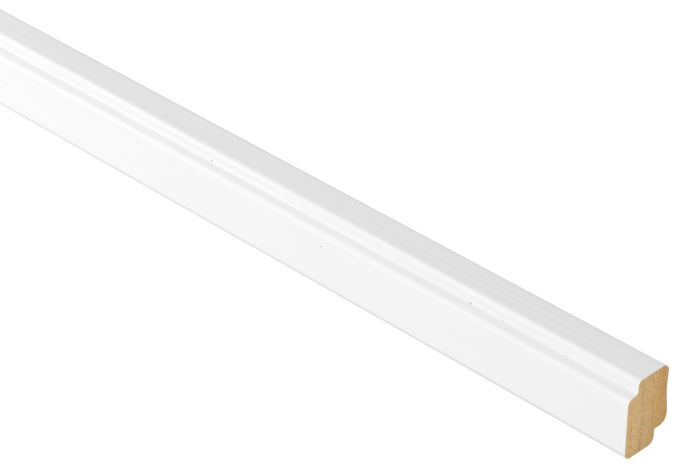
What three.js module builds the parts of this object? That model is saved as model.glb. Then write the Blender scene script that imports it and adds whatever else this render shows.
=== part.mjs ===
// A length of pine shadow moulding, painted white along its faces and cut square at both ends.
// It lies along X on its underside, its front face towards -Y and its back towards +Y.
import * as THREE from "three";

// Overall size, in millimetres
const length = 360;
const depth = 21; // front face to back
const height = 30; // underside to top face

// Front: a plain face, and above it a ledge that runs back to the step below the top face
const lowerFrontRound = 3;
const stepDepth = 4.9; // front face to riser
const riserHeight = 4.9; // ledge to top face
const ledgeFrontSlope = 20; // degrees from level, taken at the front face
const ledgeBackSlope = 5; // degrees from level, where it meets the riser
const arrisRound = 2.5; // between front face and ledge
const paintFillet = 1.4; // paint gathered where ledge and riser meet
const topFrontRound = 1.8;

// Back: two flat lands, with a shallow hollow planed between them
const topBackRound = 3.2;
const upperLandHeight = 1.5;
const upperLandInset = 0.5; // the upper land lies this far in front of the lower one
const hollowDepth = 0.5;
const lowerLandHeight = 3.1;
const lowerBackRound = 3.5;

// Rebate along the lower back edge
const rebateDepth = 6.1;
const rebateHeight = 5.5;
const undersideRound = 2.8; // between underside and rebate

const roundSteps = 8; // facets in half of a round

const quarterTurn = Math.PI / 2;
const halfTurn = Math.PI;

// The ledge is one convex round, whose slope eases from the front face to the riser.
function ledgeRound() {
  const frontSlope = THREE.MathUtils.degToRad(ledgeFrontSlope);
  const backSlope = THREE.MathUtils.degToRad(ledgeBackSlope);
  const radius = stepDepth / (Math.sin(frontSlope) - Math.sin(backSlope));
  const y = radius * Math.sin(frontSlope);
  const z = height - riserHeight - radius * Math.cos(backSlope);
  return { y, z, radius };
}

// The centre's height of a small round that stands at y and touches the ledge,
// reach away from the ledge's own centre, and the angle at which they touch.
function touchesLedge(ledge, y, reach) {
  const rise = Math.sqrt(reach ** 2 - (ledge.y - y) ** 2);
  return { z: ledge.z + rise, angle: Math.atan2(rise, y - ledge.y) };
}

// The section: x is the distance behind the front face, and y the height above the underside.
function mouldingSection() {
  const section = new THREE.Shape();

  const rebateFace = depth - rebateDepth;
  section.moveTo(lowerFrontRound, 0);
  section.absarc(rebateFace - undersideRound, undersideRound, undersideRound, -quarterTurn, 0);
  section.lineTo(rebateFace, rebateHeight);
  section.absarc(depth - lowerBackRound, rebateHeight + lowerBackRound, lowerBackRound, -quarterTurn, 0);

  const upperLand = depth - upperLandInset;
  const hollowBottom = rebateHeight + lowerBackRound + lowerLandHeight;
  const hollowTop = height - topBackRound - upperLandHeight;
  const hollowPull = (depth + upperLand) / 2 - 2 * hollowDepth;
  section.lineTo(depth, hollowBottom);
  section.quadraticCurveTo(hollowPull, (hollowBottom + hollowTop) / 2, upperLand, hollowTop);
  section.absarc(upperLand - topBackRound, height - topBackRound, topBackRound, 0, quarterTurn);
  section.absarc(stepDepth + topFrontRound, height - topFrontRound, topFrontRound, quarterTurn, halfTurn);

  const ledge = ledgeRound();
  const fillet = touchesLedge(ledge, stepDepth - paintFillet, ledge.radius + paintFillet);
  const arris = touchesLedge(ledge, arrisRound, ledge.radius - arrisRound);
  section.absarc(stepDepth - paintFillet, fillet.z, paintFillet, 0, fillet.angle - halfTurn, true);
  section.absarc(ledge.y, ledge.z, ledge.radius, fillet.angle, arris.angle);
  section.absarc(arrisRound, arris.z, arrisRound, arris.angle, halfTurn);
  section.absarc(lowerFrontRound, lowerFrontRound, lowerFrontRound, halfTurn, 3 * quarterTurn);
  return section;
}

const barePine = new THREE.MeshStandardMaterial({ color: 0xc9a16c, roughness: 0.85, metalness: 0 });
const whitePaint = new THREE.MeshStandardMaterial({ color: 0xeceded, roughness: 0.45, metalness: 0 });

// The sawn ends show bare pine, and every long face is painted.
function shadowMoulding() {
  const options = { depth: length, bevelEnabled: false, curveSegments: roundSteps };
  const geometry = new THREE.ExtrudeGeometry(mouldingSection(), options);
  const mesh = new THREE.Mesh(geometry, [barePine, whitePaint]);
  mesh.name = "shadow_moulding";
  // Turned so that the section's x runs to +Y, its y to +Z, and the length to +X
  mesh.rotation.set(quarterTurn, quarterTurn, 0);
  mesh.position.set(-length / 2, -depth / 2, 0);
  return mesh;
}

const part = new THREE.Group();
part.add(shadowMoulding());

export default part;
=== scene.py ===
import math

import bpy
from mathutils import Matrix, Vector


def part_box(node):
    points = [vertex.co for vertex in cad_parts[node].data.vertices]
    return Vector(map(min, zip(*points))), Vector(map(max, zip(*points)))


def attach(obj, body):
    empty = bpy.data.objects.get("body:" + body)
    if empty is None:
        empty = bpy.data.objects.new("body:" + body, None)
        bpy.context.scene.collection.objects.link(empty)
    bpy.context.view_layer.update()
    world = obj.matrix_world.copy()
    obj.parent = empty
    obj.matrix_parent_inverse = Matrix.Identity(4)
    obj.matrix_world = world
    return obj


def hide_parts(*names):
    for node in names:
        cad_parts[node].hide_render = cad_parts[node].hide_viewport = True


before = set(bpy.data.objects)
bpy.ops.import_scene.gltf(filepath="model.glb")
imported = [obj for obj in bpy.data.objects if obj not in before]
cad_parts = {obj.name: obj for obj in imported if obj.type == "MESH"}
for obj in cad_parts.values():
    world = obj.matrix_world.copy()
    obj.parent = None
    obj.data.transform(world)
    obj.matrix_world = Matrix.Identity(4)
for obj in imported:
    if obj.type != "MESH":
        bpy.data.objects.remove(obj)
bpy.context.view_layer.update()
mm = 0.001
print("frame loaded:", ", ".join(sorted(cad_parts)))

lowCorner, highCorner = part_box("shadow_moulding")
farEnd = lowCorner.x
nearEnd = highCorner.x
frontFace = lowCorner.y


# shader building

class Socket:
    # wraps one output, so that shader maths reads as plain sums
    def __init__(self, finish, socket):
        self.finish = finish
        self.socket = socket

    def maths(self, operation, first, second=0.0, clamp=False):
        settings = {"operation": operation, "use_clamp": clamp}
        return self.finish.node("Math", settings, {0: first, 1: second})

    def __add__(self, other):
        return self.maths("ADD", self, other)

    def __radd__(self, other):
        return self.maths("ADD", other, self)

    def __sub__(self, other):
        return self.maths("SUBTRACT", self, other)

    def __rsub__(self, other):
        return self.maths("SUBTRACT", other, self)

    def __mul__(self, other):
        return self.maths("MULTIPLY", self, other)

    def __rmul__(self, other):
        return self.maths("MULTIPLY", other, self)

    def __truediv__(self, other):
        return self.maths("DIVIDE", self, other)

    def fraction(self):
        return self.maths("FRACT", self)

    def sine(self):
        return self.maths("SINE", self)

    def clamped(self):
        return self.maths("ADD", self, 0.0, True)

    def step(self, low, high):
        # 0 below low, 1 above high, smooth between
        sockets = {"Value": self, "From Min": low, "From Max": high}
        return self.finish.node("MapRange", {"interpolation_type": "SMOOTHSTEP"}, sockets)


class Finish:
    # one material and the nodes added to it
    def __init__(self, name):
        self.material = bpy.data.materials.new(name)
        self.material.use_nodes = True
        self.tree = self.material.node_tree
        self.tree.nodes.clear()

    def node(self, kind, settings=None, sockets=None, output=0):
        made = self.tree.nodes.new("ShaderNode" + kind)
        for name, value in (settings or {}).items():
            setattr(made, name, value)
        for name, value in (sockets or {}).items():
            if isinstance(value, Socket):
                self.tree.links.new(value.socket, made.inputs[name])
            else:
                made.inputs[name].default_value = value
        return Socket(self, made.outputs[output]) if made.outputs else made

    def place(self):
        # the piece's own coordinates, in millimetres
        own = self.node("TexCoord", output="Object")
        return self.node("VectorMath", {"operation": "SCALE"}, {0: own, "Scale": 1000.0}, "Vector")

    def coordinate(self, place, axis):
        return self.node("SeparateXYZ", None, {"Vector": place}, axis)

    def distance(self, place, centre):
        return self.node("VectorMath", {"operation": "DISTANCE"}, {0: place, 1: centre}, "Value")

    def noise(self, place, grain, detail=2.0, roughness=0.5):
        # grain is the size of the pattern along x, y and z, in millimetres
        squeezed = self.node("VectorMath", {"operation": "DIVIDE"}, {0: place, 1: grain}, "Vector")
        sockets = {"Vector": squeezed, "Scale": 1.0, "Detail": detail, "Roughness": roughness}
        return self.node("TexNoise", None, sockets, "Fac")

    def blend(self, factor, first, second):
        return self.node("Mix", {"data_type": "RGBA"}, {0: factor, 6: first, 7: second}, 2)

    def bump(self, height, depth):
        # depth in metres that a height of 1 stands for
        return self.node("Bump", None, {"Height": height, "Strength": 1.0, "Distance": depth})

    def surface(self, **sockets):
        names = {name.replace("_", " "): value for name, value in sockets.items()}
        shader = self.node("BsdfPrincipled", None, names)
        self.node("OutputMaterial", None, {"Surface": shader})
        return self.material


# finishes: places and pattern sizes are in millimetres

paintLook = {
    "white": (0.869, 0.863, 0.866, 1.0),
    "greyer": (0.815, 0.808, 0.814, 1.0),
    "paintedShade": (0.755, 0.749, 0.747, 1.0),  # painted shade along the lower edges, where the downward round gets less light
    "paintedShadeTo": (2.2, 3.6),  # height at which the painted shade has faded out, from and to
    "smoothTo": (-10.4, -8.0),  # the front face is the smoothest
    "streaks": (70.0, 1.1, 1.1),
    "fineLines": (30.0, 0.32, 0.32),
    "patches": (26.0, 7.0, 7.0),
    "peel": (1.1, 0.8, 0.8),
    "cutterPitch": 1.6,  # marks left across the length by the moulder's knives
    "roughness": 0.55,
    "relief": 0.016 * mm,
}


def paintFinish():
    look = paintLook
    paint = Finish("satin_white_paint")
    place = paint.place()
    streaks = paint.noise(place, look["streaks"])
    fineLines = paint.noise(place, look["fineLines"], 2.0, 0.6)
    patches = paint.noise(place, look["patches"])
    peel = paint.noise(place, look["peel"])
    along = paint.coordinate(place, "X")
    deep = paint.coordinate(place, "Y")
    above = paint.coordinate(place, "Z")
    planed = 0.2 + 0.8 * deep.step(*look["smoothTo"])
    knives = ((along + 1.5 * patches) * (2 * math.pi / look["cutterPitch"])).sine()
    lines = 0.55 * streaks.step(0.35, 0.7) + 0.25 * fineLines.step(0.4, 0.75)
    shade = 0.25 + planed * (lines - 0.25) + 0.35 * (patches - 0.4)
    colour = paint.blend(shade, look["white"], look["greyer"])
    # painted shade: the paint turns greyer towards the bottom, for the less lit lower round
    colour = paint.blend(1.0 - above.step(*look["paintedShadeTo"]), colour, look["paintedShade"])
    height = planed * (streaks + 0.5 * fineLines) + 0.3 * peel + 0.05 * knives
    return paint.surface(
        Base_Color=colour,
        Roughness=look["roughness"] + 0.16 * (streaks - 0.5) + 0.1 * (peel - 0.5),
        Normal=paint.bump(height, look["relief"]),
    )


pineLook = {
    "early": (0.885, 0.625, 0.3, 1.0),  # soft early wood
    "late": (0.44, 0.235, 0.065, 1.0),  # hard late wood
    "warm": (0.8, 0.465, 0.175, 1.0),  # redder wood
    "pore": (0.28, 0.15, 0.05, 1.0),
    "wander": (60.0, 6.0, 9.0),
    "ripple": (60.0, 1.1, 2.6),
    "blots": (60.0, 0.5, 1.5),
    "breaks": (60.0, 1.6, 3.2),
    "fibre": (1.0, 0.42, 0.8),
    "pores": (1.0, 0.26, 0.32),
    "rays": (1.0, 1.8, 0.2),
    "pith": (0.0, -120.0, 10.0),  # the rings' centre, far in front of the piece
    "ringWidth": 5.6,
    "ringStart": 0.91,
    "fineRingWidth": 1.07,
    # where each starts or ends, from and to, measured from the middle towards the back
    "warmRingEnds": (-9.2, -7.8),  # a ring close behind the front face
    "darkerStarts": (-5.3, -3.3),
    "darkerEnds": (-1.0, 3.0),
    "redderStarts": (-2.0, 8.0),
    "coarserStarts": (-1.0, 7.0),
    "arcCentre": (0.0, -7.4, 2.9),  # curved marks spread from here, low in front
    "arcPitch": 1.3,
    "roughness": 0.8,
    "gloss": 0.25,
    "relief": 0.06 * mm,
}


def pineFinish():
    look = pineLook
    pine = Finish("bare_pine_end")
    place = pine.place()
    flatPlace = pine.node("VectorMath", {"operation": "MULTIPLY"}, {0: place, 1: (0.0, 1.0, 1.0)}, "Vector")
    wander = pine.noise(place, look["wander"]) - 0.5
    ripple = pine.noise(place, look["ripple"]) - 0.5
    deep = pine.coordinate(place, "Y")
    back = deep + 5.0 * wander
    warmRing = 1.0 - deep.step(*look["warmRingEnds"])
    darker = back.step(*look["darkerStarts"]) * (1.0 - back.step(*look["darkerEnds"]))
    redder = back.step(*look["redderStarts"])
    coarser = back.step(*look["coarserStarts"])
    # rings: a few strong ones, and fine ones that fade in and out
    radius = pine.distance(flatPlace, look["pith"]) + 1.5 * wander + 0.5 * ripple
    ring = (radius / look["ringWidth"] + look["ringStart"]).fraction()
    late = ring.step(0.76, 0.93) * (1.0 - ring.step(0.95, 1.0))
    fine = (radius / look["fineRingWidth"]).fraction()
    fineLate = fine.step(0.3, 0.8) * (1.0 - fine.step(0.82, 1.0))
    breaks = pine.noise(place, look["breaks"]).step(0.34, 0.6)
    strong = 0.34 * late * (1.0 - 0.9 * warmRing)
    rings = breaks * (strong + (0.2 + 0.2 * coarser) * fineLate)
    # curved marks
    reach = pine.distance(flatPlace, look["arcCentre"]) + 0.5 * ripple
    swept = reach.step(3.5, 6.0) * (1.0 - reach.step(9.0, 10.5))
    arcs = (reach * (2 * math.pi / look["arcPitch"])).sine() * swept
    # fibres, rays and pores
    blots = pine.noise(place, look["blots"], 3.0, 0.6)
    fibre = pine.noise(place, look["fibre"], 3.0, 0.65)
    rays = pine.noise(place, look["rays"], 2.0, 0.6)
    pores = pine.noise(place, look["pores"], 1.0).step(0.6, 0.72)
    speckled = (1.0 + 0.5 * coarser) * (blots - 0.5) + 1.6 * (fibre - 0.44) + 0.3 * (rays - 0.5)
    dark = 0.05 + 0.09 * darker - 0.12 * warmRing + rings + speckled
    dark = dark + 0.24 * arcs * blots.step(0.35, 0.65)
    colour = pine.blend(0.9 * redder + 0.35 * warmRing, look["early"], look["warm"])
    colour = pine.blend(dark.clamped(), colour, look["late"])
    colour = pine.blend(0.55 * pores * fibre.step(0.4, 0.55), colour, look["pore"])
    height = 0.5 * fibre + 0.35 * late + 0.2 * arcs - 0.4 * pores
    return pine.surface(
        Base_Color=colour,
        Roughness=look["roughness"] + 0.2 * (fibre - 0.5),
        Specular_IOR_Level=look["gloss"],
        Normal=pine.bump(height, look["relief"]),
    )


speckLook = {
    "dark": (0.2, 0.17, 0.14, 1.0),
    "light": (0.42, 0.37, 0.31, 1.0),
    "grit": (0.15, 0.1, 0.1),
    "roughness": 0.9,
    "relief": 0.03 * mm,
}


def speckFinish():
    look = speckLook
    speck = Finish("dusty_pinhole")
    grit = speck.noise(speck.place(), look["grit"])
    return speck.surface(
        Base_Color=speck.blend(grit.step(0.35, 0.65), look["dark"], look["light"]),
        Roughness=look["roughness"] + 0.05 * grit,
        Normal=speck.bump(grit, look["relief"]),
    )


paintMaterial = paintFinish()
pineMaterial = pineFinish()
speckMaterial = speckFinish()
print("finishes made")


# modelling helpers

def startWith(piece):
    bpy.ops.object.select_all(action="DESELECT")
    piece.select_set(True)
    bpy.context.view_layer.objects.active = piece


def toEdit():
    bpy.ops.object.mode_set(mode="EDIT")


def backToObject():
    bpy.ops.object.mode_set(mode="OBJECT")


def unpick(piece, kind):
    startWith(piece)
    toEdit()
    bpy.ops.mesh.select_mode(type=kind)
    bpy.ops.mesh.select_all(action="DESELECT")
    backToObject()


def pickFaces(piece, wanted):
    unpick(piece, "FACE")
    for face in piece.data.polygons:
        face.select = wanted(face)
    toEdit()


def edgeSpots(piece, edge):
    spots = piece.data.vertices
    return [spots[i].co for i in edge.vertices]


def pickEdges(piece, wanted):
    unpick(piece, "EDGE")
    for edge in piece.data.edges:
        edge.select = wanted(*edgeSpots(piece, edge))
    toEdit()


def pushIn(piece, chosen, texture, depth, guide=None):
    # pushes the chosen vertices in along their normals, by up to depth
    group = piece.vertex_groups.new(name=texture.name)
    group.add(chosen, 1.0, "REPLACE")
    modifier = piece.modifiers.new(texture.name, "DISPLACE")
    modifier.texture = texture
    modifier.texture_coords = "OBJECT" if guide else "LOCAL"
    modifier.texture_coords_object = guide
    modifier.vertex_group = group.name
    modifier.direction = "NORMAL"
    modifier.mid_level = 0.0
    modifier.strength = -depth
    startWith(piece)
    bpy.ops.object.modifier_apply(modifier=modifier.name)
    piece.vertex_groups.clear()


# the moulding: its finishes are paint, pine and speck, in that order
paintSlot = 0
pineSlot = 1

mouldingSizes = {
    "lengthCuts": 89,
    "widestFlat": 1.0 * mm,  # flats across the section are divided to about this
    "waviness": 0.05 * mm,  # the planed and painted faces are this uneven
    "waveLength": 15.0 * mm,
    "trueEnds": 1.0 * mm,  # and not uneven this close to the ends
    "smoothBelow": 30,  # degrees
}

# differences this small count as none
sameSpot = 0.001 * mm
sameWidth = 0.002 * mm
samePlane = 0.01 * mm
sameFacet = math.radians(0.4)


def mouldingBlank():
    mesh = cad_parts["shadow_moulding"].data.copy()
    piece = bpy.data.objects.new("painted_moulding", mesh)
    bpy.context.scene.collection.objects.link(piece)
    mesh.materials.clear()
    for material in (paintMaterial, pineMaterial, speckMaterial):
        mesh.materials.append(material)
    startWith(piece)
    toEdit()
    bpy.ops.mesh.select_all(action="SELECT")
    bpy.ops.mesh.remove_doubles(threshold=sameSpot)
    backToObject()
    # the ends come off until the long faces are divided
    pickFaces(piece, lambda face: abs(face.normal.x) > 0.9)
    bpy.ops.mesh.delete(type="FACE")
    bpy.ops.mesh.select_all(action="SELECT")
    bpy.ops.mesh.tris_convert_to_quads(face_threshold=sameFacet, shape_threshold=math.pi)
    piece.active_material_index = paintSlot
    bpy.ops.object.material_slot_assign()
    backToObject()
    return piece


def divideFaces(piece):
    sizes = mouldingSizes

    def isLong(first, second):
        return abs(first.x - second.x) > nearEnd

    pickEdges(piece, isLong)
    bpy.ops.mesh.subdivide(number_cuts=sizes["lengthCuts"])
    backToObject()

    def isWide(first, second):
        across = abs(first.x - second.x) < samePlane
        return across and (first - second).length > sizes["widestFlat"]

    widths = set()
    for edge in piece.data.edges:
        first, second = edgeSpots(piece, edge)
        if isWide(first, second):
            widths.add(round((first - second).length, 6))
    for width in sorted(widths):

        def isThisWide(first, second):
            return isWide(first, second) and abs((first - second).length - width) < sameWidth

        pickEdges(piece, isThisWide)
        bpy.ops.mesh.subdivide(number_cuts=math.ceil(width / sizes["widestFlat"]) - 1)
        backToObject()


def softenFaces(piece):
    # a slow unevenness of the long faces, always inwards, and none at the ends
    sizes = mouldingSizes
    clouds = bpy.data.textures.new("planed_unevenness", "CLOUDS")
    clouds.noise_scale = sizes["waveLength"]
    inner = [v.index for v in piece.data.vertices if abs(v.co.x) < nearEnd - sizes["trueEnds"]]
    pushIn(piece, inner, clouds, sizes["waviness"])


# the sawn ends

sawnEndSizes = {
    "paintFilm": 0.12 * mm,  # the film's cut edge, seen round the bare wood
    "step": 0.03 * mm,
    "recess": 0.05 * mm,  # bare wood lies this far behind the film's edge
    "ragged": 0.1 * mm,  # how uneven the line between film and wood is
    "raggedSeeds": (3, 8),  # for the far end and the near end
    "grid": 0.25 * mm,  # the wood is divided to this for its relief
    "tornFibre": 0.07 * mm,
    "fibreSize": 0.45 * mm,
    "arcDepth": 0.015 * mm,
    "arcPitch": pineLook["arcPitch"] * mm,
    "arcCentre": Vector(pineLook["arcCentre"]) * mm,
    "arcReach": (4.5 * mm, 10.0 * mm),
}


def closeEnd(piece, end, seed):
    sizes = sawnEndSizes

    def isOnEnd(first, second):
        return abs(first.x - end) < samePlane and abs(second.x - end) < samePlane

    pickEdges(piece, isOnEnd)
    bpy.ops.mesh.edge_face_add()
    bpy.ops.mesh.inset(thickness=sizes["paintFilm"])
    bpy.ops.mesh.inset(thickness=sizes["step"], depth=-sizes["recess"])
    piece.active_material_index = pineSlot
    bpy.ops.object.material_slot_assign()
    # the edge of the wood is made ragged, and level again
    bpy.ops.transform.vertex_random(offset=sizes["ragged"], seed=seed)
    wood = Vector((end * (1 - sizes["recess"] / nearEnd), 0, 0))
    bpy.ops.transform.resize(value=(0, 1, 1), center_override=wood)
    backToObject()


def gridEnds(piece):
    # a fine grid across the bare wood of both ends
    toEdit()
    for axis, direction in ((1, (0, 1, 0)), (2, (0, 0, 1))):
        low, high = lowCorner[axis], highCorner[axis]
        cuts = round((high - low) / sawnEndSizes["grid"])
        for i in range(1, cuts):
            spot = Vector((0, 0, 0))
            spot[axis] = low + (high - low) * i / cuts
            bpy.ops.mesh.select_all(action="DESELECT")
            bpy.ops.object.material_slot_select()
            bpy.ops.mesh.bisect(plane_co=spot, plane_no=direction)
    backToObject()


def insideWood(piece):
    # vertices of the bare wood that no painted face shares
    painted, bare = set(), set()
    for face in piece.data.polygons:
        (bare if face.material_index == pineSlot else painted).update(face.vertices)
    return sorted(bare - painted)


def tearFibres(piece, chosen):
    torn = bpy.data.textures.new("torn_fibre", "CLOUDS")
    torn.noise_scale = sawnEndSizes["fibreSize"]
    pushIn(piece, chosen, torn, sawnEndSizes["tornFibre"])


def markArcs(piece, chosen):
    sizes = sawnEndSizes
    arcs = bpy.data.textures.new("curved_marks", "WOOD")
    arcs.wood_type = "RINGS"
    # this texture has 20 rings in 2 pi of its own length, and none of it changes along x
    wide = sizes["arcPitch"] * 20 / (2 * math.pi)
    bpy.ops.object.empty_add(location=sizes["arcCentre"])
    centre = bpy.context.active_object
    centre.scale = (1000.0, wide, wide)
    bpy.context.view_layer.update()
    nearest, furthest = sizes["arcReach"]

    def reach(i):
        return (piece.data.vertices[i].co.yz - sizes["arcCentre"].yz).length

    swept = [i for i in chosen if nearest < reach(i) < furthest]
    pushIn(piece, swept, arcs, sizes["arcDepth"], centre)
    bpy.data.objects.remove(centre)


def sawnEnds(piece):
    for end, seed in zip((farEnd, nearEnd), sawnEndSizes["raggedSeeds"]):
        closeEnd(piece, end, seed)
    gridEnds(piece)
    inside = insideWood(piece)
    tearFibres(piece, inside)
    markArcs(piece, inside)


# pinholes in the paint

pinholeSizes = {
    "segments": 16,
    "rings": 8,
    # from the near end, behind the front face, above the underside, width
    "places": (
        (203.7 * mm, 4.6 * mm, 25.47 * mm, 0.48 * mm),
        (73.4 * mm, 4.42 * mm, 25.29 * mm, 0.44 * mm),
        (66.8 * mm, 4.38 * mm, 25.24 * mm, 0.32 * mm),
        (58.6 * mm, 4.36 * mm, 25.2 * mm, 0.28 * mm),
        (30.6 * mm, 4.13 * mm, 25.06 * mm, 0.3 * mm),
        (142.0 * mm, 0.0 * mm, 18.61 * mm, 0.48 * mm),
    ),
}


def addBead(spot, width):
    segments, rings = pinholeSizes["segments"], pinholeSizes["rings"]
    bpy.ops.mesh.primitive_uv_sphere_add(
        segments=segments, ring_count=rings, radius=width / 2, location=spot
    )
    bead = bpy.context.active_object
    bead.data.materials.append(speckMaterial)
    return bead


def pierce(piece):
    bpy.ops.object.select_all(action="DESELECT")
    beads = []
    for fromEnd, behind, above, width in pinholeSizes["places"]:
        beads.append(addBead((nearEnd - fromEnd, frontFace + behind, above), width))
    for bead in beads:
        bead.select_set(True)
    bpy.ops.object.join()
    cutter = bpy.context.active_object
    modifier = piece.modifiers.new("pinholes", "BOOLEAN")
    modifier.operation = "DIFFERENCE"
    modifier.solver = "EXACT"
    modifier.material_mode = "TRANSFER"
    modifier.object = cutter
    startWith(piece)
    bpy.ops.object.modifier_apply(modifier=modifier.name)
    bpy.data.objects.remove(cutter)


moulding = mouldingBlank()
divideFaces(moulding)
softenFaces(moulding)
print("long faces made")
sawnEnds(moulding)
print("sawn ends made")
pierce(moulding)
startWith(moulding)
bpy.ops.object.shade_smooth_by_angle(angle=math.radians(mouldingSizes["smoothBelow"]))
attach(moulding, "root")
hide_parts("shadow_moulding")
print("moulding made:", len(moulding.data.polygons), "faces")


# studio

def towards(azimuth, elevation):
    # direction from the piece, azimuth 0 being the front and 90 the near end
    turn, lift = math.radians(azimuth), math.radians(elevation)
    return Vector((math.sin(turn) * math.cos(lift), -math.cos(turn) * math.cos(lift), math.sin(lift)))


def standOff(thing, aim, direction, distance):
    # puts a camera or light this far out from aim, turned to look at it
    thing.location = aim + direction * distance
    thing.rotation_mode = "QUATERNION"
    thing.rotation_quaternion = (-direction).to_track_quat("-Z", "Y")
    bpy.context.scene.collection.objects.link(thing)


cameraSizes = {
    "aim": Vector((40.95, 1.35, 19.78)) * mm,
    "azimuth": 44.93,
    "elevation": 33.17,
    "distance": 1004.2 * mm,
    "lens": 144.98,
    "sensor": 36.0,
    "clipStart": 10 * mm,
}


def addCamera():
    sizes = cameraSizes
    data = bpy.data.cameras.new("camera")
    data.lens = sizes["lens"]
    data.sensor_width = sizes["sensor"]
    data.clip_start = sizes["clipStart"]
    camera = bpy.data.objects.new("camera", data)
    direction = towards(sizes["azimuth"], sizes["elevation"])
    standOff(camera, sizes["aim"], direction, sizes["distance"])
    bpy.context.scene.camera = camera


lightSizes = {
    "distance": 1.6,
    "width": 1.2,
    "height": 1.0,
    "aim": Vector((0.0, 0.0, 0.015)),
    # degrees round from the front, degrees up, watts
    "places": {
        "soft_box_left": (-50.0, 25.0, 8.8),
        "soft_box_front": (-5.0, 25.0, 4.2),
    },
}


def addLights():
    sizes = lightSizes
    for name, (azimuth, elevation, power) in sizes["places"].items():
        data = bpy.data.lights.new(name, "AREA")
        data.shape = "RECTANGLE"
        data.size = sizes["width"]
        data.size_y = sizes["height"]
        data.energy = power
        light = bpy.data.objects.new(name, data)
        light.visible_camera = False
        standOff(light, sizes["aim"], towards(azimuth, elevation), sizes["distance"])


skyLook = {"white": (1.0, 1.0, 1.0, 1.0), "strength": 0.714}


def addSky():
    world = bpy.data.worlds.new("studio")
    world.use_nodes = True
    sky = world.node_tree.nodes["Background"]
    sky.inputs["Color"].default_value = skyLook["white"]
    sky.inputs["Strength"].default_value = skyLook["strength"]
    bpy.context.scene.world = world


floorLook = {
    "white": (0.9, 0.9, 0.9, 1.0),
    "roughness": 0.9,
    "glow": 0.6,  # white paper, overexposed
    "size": 30.0,
    "drop": 0.05 * mm,
}


def addFloor():
    bpy.ops.object.select_all(action="DESELECT")
    bpy.ops.mesh.primitive_plane_add(size=floorLook["size"], location=(0, 0, -floorLook["drop"]))
    floor = bpy.context.active_object
    floor.name = "floor"
    paper = Finish("pale_floor")
    seen = paper.node("LightPath", output="Is Camera Ray")
    material = paper.surface(
        Base_Color=floorLook["white"],
        Roughness=floorLook["roughness"],
        Emission_Color=seen * floorLook["glow"],
        Emission_Strength=1.0,
    )
    floor.data.materials.append(material)


addCamera()
addLights()
addSky()
addFloor()
bpy.context.scene.view_settings.view_transform = "Standard"
print("studio made")
